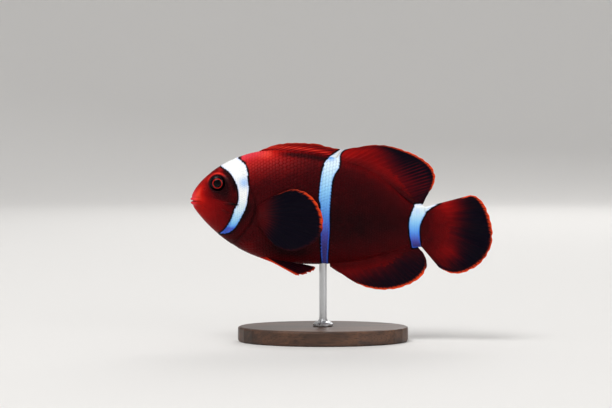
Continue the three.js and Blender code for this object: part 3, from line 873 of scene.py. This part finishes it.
red = 0.25 + bump(x, 102, 5.5) * (0.13 + 0.2 * bump(z, -1.5, 4) + 0.06 * bump(z, -19, 3.5))
red -= 0.1 * ease(-21, -26, z)
edge = ease(106, 110, x + 1.5 * np.maximum(-z - 6, 0)) * (1 - ease(0.93, 0.99, s))
hem = 0.8 - 0.25 * bump(s, 0.5, 0.12)
add_fin("tail_fin", web, fin_values(web, red, dark, edge, hem=hem, ray_tint=0.08, ray_red=0.04))
stalk_end = np.array([bezier_chain(chain, np.linspace(3, 4, 30)) for chain in (BELLY, BACK)])
stalk_end = np.concatenate((stalk_end[0], stalk_end[1][::-1]))
past_stalk = x - np.interp(z, stalk_end[:, 1], stalk_end[:, 0])
add_sheath("scales_tail", web, past_stalk, 6 * bump(s[:, 0], 0.5, 0.6), red)

# The pectoral fins are round paddles on fleshy lobes behind the gill covers.
web = fin_web(
    [(27.6, -9, -1.4), (27.2, -9.2, -5), (27.2, -9, -8.8)],
    [(34.6, -11.9, 2.9), (41, -13.6, 5), (46.6, -15, 3.6), (50.9, -16.3, -0.8), (53.2, -17, -7.4),
     (51.8, -16.8, -13.2), (47, -15.6, -17.2), (40.6, -13.8, -19.2), (34.6, -12, -17.2),
     (30.2, -10.6, -12.8)],
    rays=17, notch=0.35, fleshy=1, thin=0.11, wave=0.2,
)
s, x, z = web.s, web.x, web.z
streak = 0.9 * np.sin(math.tau * s * web.rays) + 3 * ease(-7, -15, z)
dark = ease(29.5, 38.5, x + streak)
red = 0.2 + 0.06 * bump(x, 30, 3)
edge = (0.56 + 0.36 * ease(0.12, 0.26, s)) * (1 - 0.8 * ease(0.46, 0.54, s))
edge *= ease(33, 37, x)
hem = 0.98 + 0.2 * np.sin(math.tau * 23 * s) + 0.15 * np.sin(math.tau * 37 * s + 1)
pectoral = fin_values(web, red, dark, edge, hem=hem, ray_tint=0.2, barred=False)
for hand, side in SIDES.items():
    add_fin("pectoral_fin_" + hand, web, pectoral, mirrored=side > 0)

# The pelvic fins are narrow and held back along the belly.
web = fin_web(
    [(27.4, -2, -21.4), (29.8, -1.8, -22.2), (32.4, -1.5, -22.9)],
    [(42.6, -6.2, -29.4), (45.4, -5.8, -28.9), (48.2, -5, -28), (50, -3.6, -26.9),
     (49.4, -2.4, -26.4)],
    rays=6, notch=0.8, thin=0.14, ray_rise=0.16,
)
s, t = web.s, web.t
dark = 0.9 * ease(0.1, 0.3, t) * ease(0.1, 0.25, s) * (1 - ease(0.93, 1, t))
red = 0.42 + 0.25 * ease(0.2, 0.05, s)
pelvic = fin_values(web, red, dark, 0.8, hem=0.7, ray_tint=0.55, barred=False)
front_edge = 0.8 * ease(0.16, 0.04, s) * ease(0.1, 0.4, t)
pelvic["edge"] = np.maximum(pelvic["edge"], front_edge)
for hand, side in SIDES.items():
    add_fin("pelvic_fin_" + hand, web, pelvic, mirrored=side > 0)

# ---- Eyes ----
# A glossy ball under a clear cornea: black pupil, a thin bright red ring, and an iris so dark that
# it runs into the shade around it.
EYE_RINGS, EYE_SPOKES = 40, 64
EYE_RADIUS, EYE_BULGE, EYE_BACK = 3.05, 1.75, 0.9
EYE_FULL = 0.9  # 1 would make the front half a ball, and less makes it flatter
PUPIL_RISE = 0.12
BALL_RISE = 2.1  # from the widest circle of the solid ball to its top

cornea, tree, shader = start_material("clear cornea over dark iris")
from_axis = add_node(tree, "Attribute", out="Fac", attribute_name="out")
place = add_node(tree, "TexCoord", out="Object")
flecks = add_node(tree, "TexNoise", {"Vector": place, "Scale": 1800, "Detail": 2})
shift = add_node(tree, "MapRange", {
    "Value": flecks, "From Min": 0.3, "From Max": 0.7, "To Min": -0.02, "To Max": 0.02,
})
moved = add_node(tree, "Math", {0: from_axis, 1: shift}, operation="ADD")
iris = add_node(tree, "ValToRGB", {"Fac": moved}, stops=[
    (0.0, "#010204"), (1.0, "#050206"), (0.5, "#010204"), (0.55, "#8c100e"), (0.59, "#d02820"),
    (0.62, "#a0140c"), (0.67, "#12040a"), (0.8, "#030207"),
])
feed(shader, {
    "Base Color": iris, "Roughness": 0.22, "Coat Weight": 0.1, "Coat Roughness": 0.04,
    "Specular IOR Level": 0.06,
})

spokes = math.tau * np.arange(EYE_SPOKES) / EYE_SPOKES
out, turn = np.meshgrid(np.linspace(0, 1, EYE_RINGS + 1)[1:], spokes, indexing="ij")
rim_depth = math.sqrt(1 - EYE_FULL)
front = EYE_BULGE * (np.sqrt(1 - EYE_FULL * out**2) - rim_depth)
front += PUPIL_RISE * ease(0.56, 0.42, out)
rear = -EYE_BACK * np.sqrt(1 - out**2)
span, depth = np.vstack((out, out[-2::-1])), np.vstack((front, rear[-2::-1]))
turn = np.vstack((turn, turn[1:]))
across, up = EYE_RADIUS * span * np.cos(turn), EYE_RADIUS * span * np.sin(turn)
poles = np.array([EYE_BULGE * (1 - rim_depth) + PUPIL_RISE, -EYE_BACK])
for hand, side in SIDES.items():
    low, high = (np.array(corner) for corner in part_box("eye_" + hand))
    widest = (low[1] if side < 0 else high[1]) / MM - side * BALL_RISE
    ball_points = np.stack((
        EYE_AT[0] + np.append(across, (0, 0)), widest + side * np.append(depth, poles),
        EYE_AT[1] + np.append(up, (0, 0)),
    ), axis=-1)
    ball = add_piece(
        "eyeball_" + hand, to_world(ball_points), tube_faces(len(span), EYE_SPOKES, -side),
        cornea, "eye", out=np.append(span, (0, 0)),
    )
    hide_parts("eye_" + hand)

# ---- Cheek spines ----
# Two backward spikes of bone on each cheek under the eye, the upper one long enough to cross the
# first bar. Thin skin covers them to near the tip.
SPINES = [  # where each starts and ends, its radius, and how bare its tip is
    ((13.2, -0.6), (19.9, -1.3), 0.62, 1), ((12.6, -3), (15.9, -4.5), 0.42, 0.4),
]
SPINE_RINGS, SPINE_SIDES = 29, 14
SPINE_FLAT = 0.75  # its thickness out from the cheek, to its height
spine_skin, tree, shader = start_material("skinned bone spine")
along = add_node(tree, "Attribute", out="Fac", attribute_name="reach")
tint = add_node(tree, "ValToRGB", {"Fac": along}, stops=[
    (0.0, "#6a080a"), (1.0, "#030103"), (0.3, "#480508"), (0.6, "#0a0204"),
])
feed(shader, {"Base Color": tint, "Roughness": 0.38, "Specular IOR Level": 0.06})


def side_of_body(x, z, side):
    """Distance out from the middle plane of the skin point nearest to each [x, z]."""
    near = skin_points[:, : SKIN_SIDES // 2].reshape(-1, 3)
    gap = (near[None, :, 0] - x[:, None]) ** 2 + (near[None, :, 2] - z[:, None]) ** 2
    return side * np.abs(near[gap.argmin(axis=1), 1])


turns = math.tau * np.arange(SPINE_SIDES) / SPINE_SIDES
t, turn = np.meshgrid(np.linspace(0, 1, SPINE_RINGS), turns, indexing="ij")
for hand, side in SIDES.items():
    for k, (start, end, thick, bare) in enumerate(SPINES):
        x, z = (start[i] + (end[i] - start[i]) * t[:, :1] for i in (0, 1))
        z = z + 0.12 * np.sin(math.pi * t[:, :1])
        y = side_of_body(x[:, 0], z[:, 0], side)[:, None]
        y = y + side * (0.5 * ease(0, 0.6, t[:, :1]) - 0.1)
        radius_at = thick * (1 - t) ** 0.55 * ease(-0.12, 0.25, t) + 0.02
        out, up = side * SPINE_FLAT * radius_at * np.cos(turn), radius_at * np.sin(turn)
        tube = np.stack((x + 0 * turn, y + out, z + up), axis=-1)
        ends = [tube[0].mean(0), tube[-1].mean(0)]
        add_piece(
            "cheek_spine_%s_%d" % (hand, k + 1), to_world(np.vstack((tube.reshape(-1, 3), ends))),
            tube_faces(SPINE_RINGS, SPINE_SIDES, -side), spine_skin, "maroon_skin",
            reach=np.append(t, (0, 1)) * bare,
        )

# ---- Stand ----
# An oval turned from one board of dark oiled walnut, grain along its length, and a rod of brushed
# stainless steel that stands in a small flange and enters the belly.
walnut, tree, shader = start_material("oiled walnut")
place = add_node(tree, "TexCoord", out="Object")
squeezed = add_node(tree, "Mapping", {
    "Vector": place, "Rotation": (0.05, 0.02, 0.03), "Scale": (1, 9, 9),
})
figure = add_node(tree, "TexNoise", {
    "Vector": squeezed, "Scale": 22, "Detail": 5, "Roughness": 0.62, "Distortion": 0.6,
})
stretched = add_node(tree, "Mapping", {"Vector": place, "Scale": (90, 2600, 2600)})
pores = add_node(tree, "TexNoise", {"Vector": stretched, "Scale": 1, "Detail": 1})
wood = add_node(tree, "ValToRGB", {"Fac": figure}, stops=[
    (0.28, "#2a1a12"), (0.72, "#6b4730"), (0.42, "#3d271a"), (0.55, "#533523"),
])
dots = add_node(tree, "MapRange", {
    "Value": pores, "From Min": 0.34, "From Max": 0.48, "To Min": 0.55,
})
mixed = {0: 1.0, 6: wood, 7: dots}
grained = add_node(tree, "Mix", mixed, out=2, data_type="RGBA", blend_type="MULTIPLY")
pits = add_node(tree, "Bump", {"Height": dots, "Strength": 0.3, "Distance": 0.08 * MM})
feed(shader, {"Base Color": grained, "Roughness": 0.42, "Normal": pits})

steel, tree, shader = start_material("brushed stainless steel")
place = add_node(tree, "TexCoord", out="Object")
stretched = add_node(tree, "Mapping", {"Vector": place, "Scale": (1400, 1400, 60)})
lines = add_node(tree, "TexNoise", {"Vector": stretched, "Scale": 1, "Detail": 2})
shine = add_node(tree, "MapRange", {
    "Value": lines, "From Min": 0.3, "From Max": 0.7, "To Min": 0.24, "To Max": 0.38,
})
feed(shader, {"Base Color": linear("#c3c4c6"), "Metallic": 1, "Roughness": shine})
for node, finish in (("stand_base", walnut), ("stand_rod", steel)):
    piece = bpy.data.objects[node]
    for slot in piece.material_slots:
        slot.material = finish

# ---- Stage ----
# A pale floor that curves up all round into a plain wall, under large soft lamps: the key from
# the fish's left and above, a weak fill low in front of it and one from behind.
FLOOR_RADIUS, SWEEP, WALL = 1.6, 1.2, 3.2
FLOOR_SIDES, SWEEP_RINGS = 96, 24
paper, _, shader = start_material("matt paper sweep")
feed(shader, {"Base Color": linear("#e2e0dd"), "Roughness": 0.9, "Specular IOR Level": 0.1})
rise = np.linspace(0, math.pi / 2, SWEEP_RINGS)
out = np.concatenate(([0.02, 0.5, 1], FLOOR_RADIUS + SWEEP * np.sin(rise), [FLOOR_RADIUS + SWEEP]))
up = np.concatenate(([0, 0, 0], SWEEP * (1 - np.cos(rise)), [WALL]))
out, up = out[:, None], up[:, None]
turn = math.tau * np.arange(FLOOR_SIDES) / FLOOR_SIDES
bowl = np.stack((out * np.cos(turn), out * np.sin(turn), up + 0 * turn), axis=-1)
faces = grid_faces(len(up), FLOOR_SIDES, closed=True).tolist() + [list(range(FLOOR_SIDES))]
floor = add_mesh("floor", bowl, faces, paper)

LAMPS = [
    ("key", (-0.5, -0.7, 1.6), 0.8, 17),
    ("fill", (1.2, -1.3, 0.6), 1.1, 5),
    ("back", (0.4, 1.3, 1.0), 0.9, 8),
]
for name, place, size, power in LAMPS:
    lamp = bpy.data.objects.new(name, bpy.data.lights.new(name, "AREA"))
    lamp.data.size, lamp.data.energy = size, power
    lamp.location = place
    aim = np.array(place) - target
    lamp.rotation_euler = (
        math.atan2(math.hypot(aim[0], aim[1]), aim[2]), 0, math.atan2(aim[1], aim[0]) + math.pi / 2,
    )
    bpy.context.scene.collection.objects.link(lamp)
world = bpy.data.worlds.new("studio")
world.use_nodes = True
feed(world.node_tree.nodes["Background"], {"Color": linear("#f0f2f6"), "Strength": 0.7})
bpy.context.scene.world = world
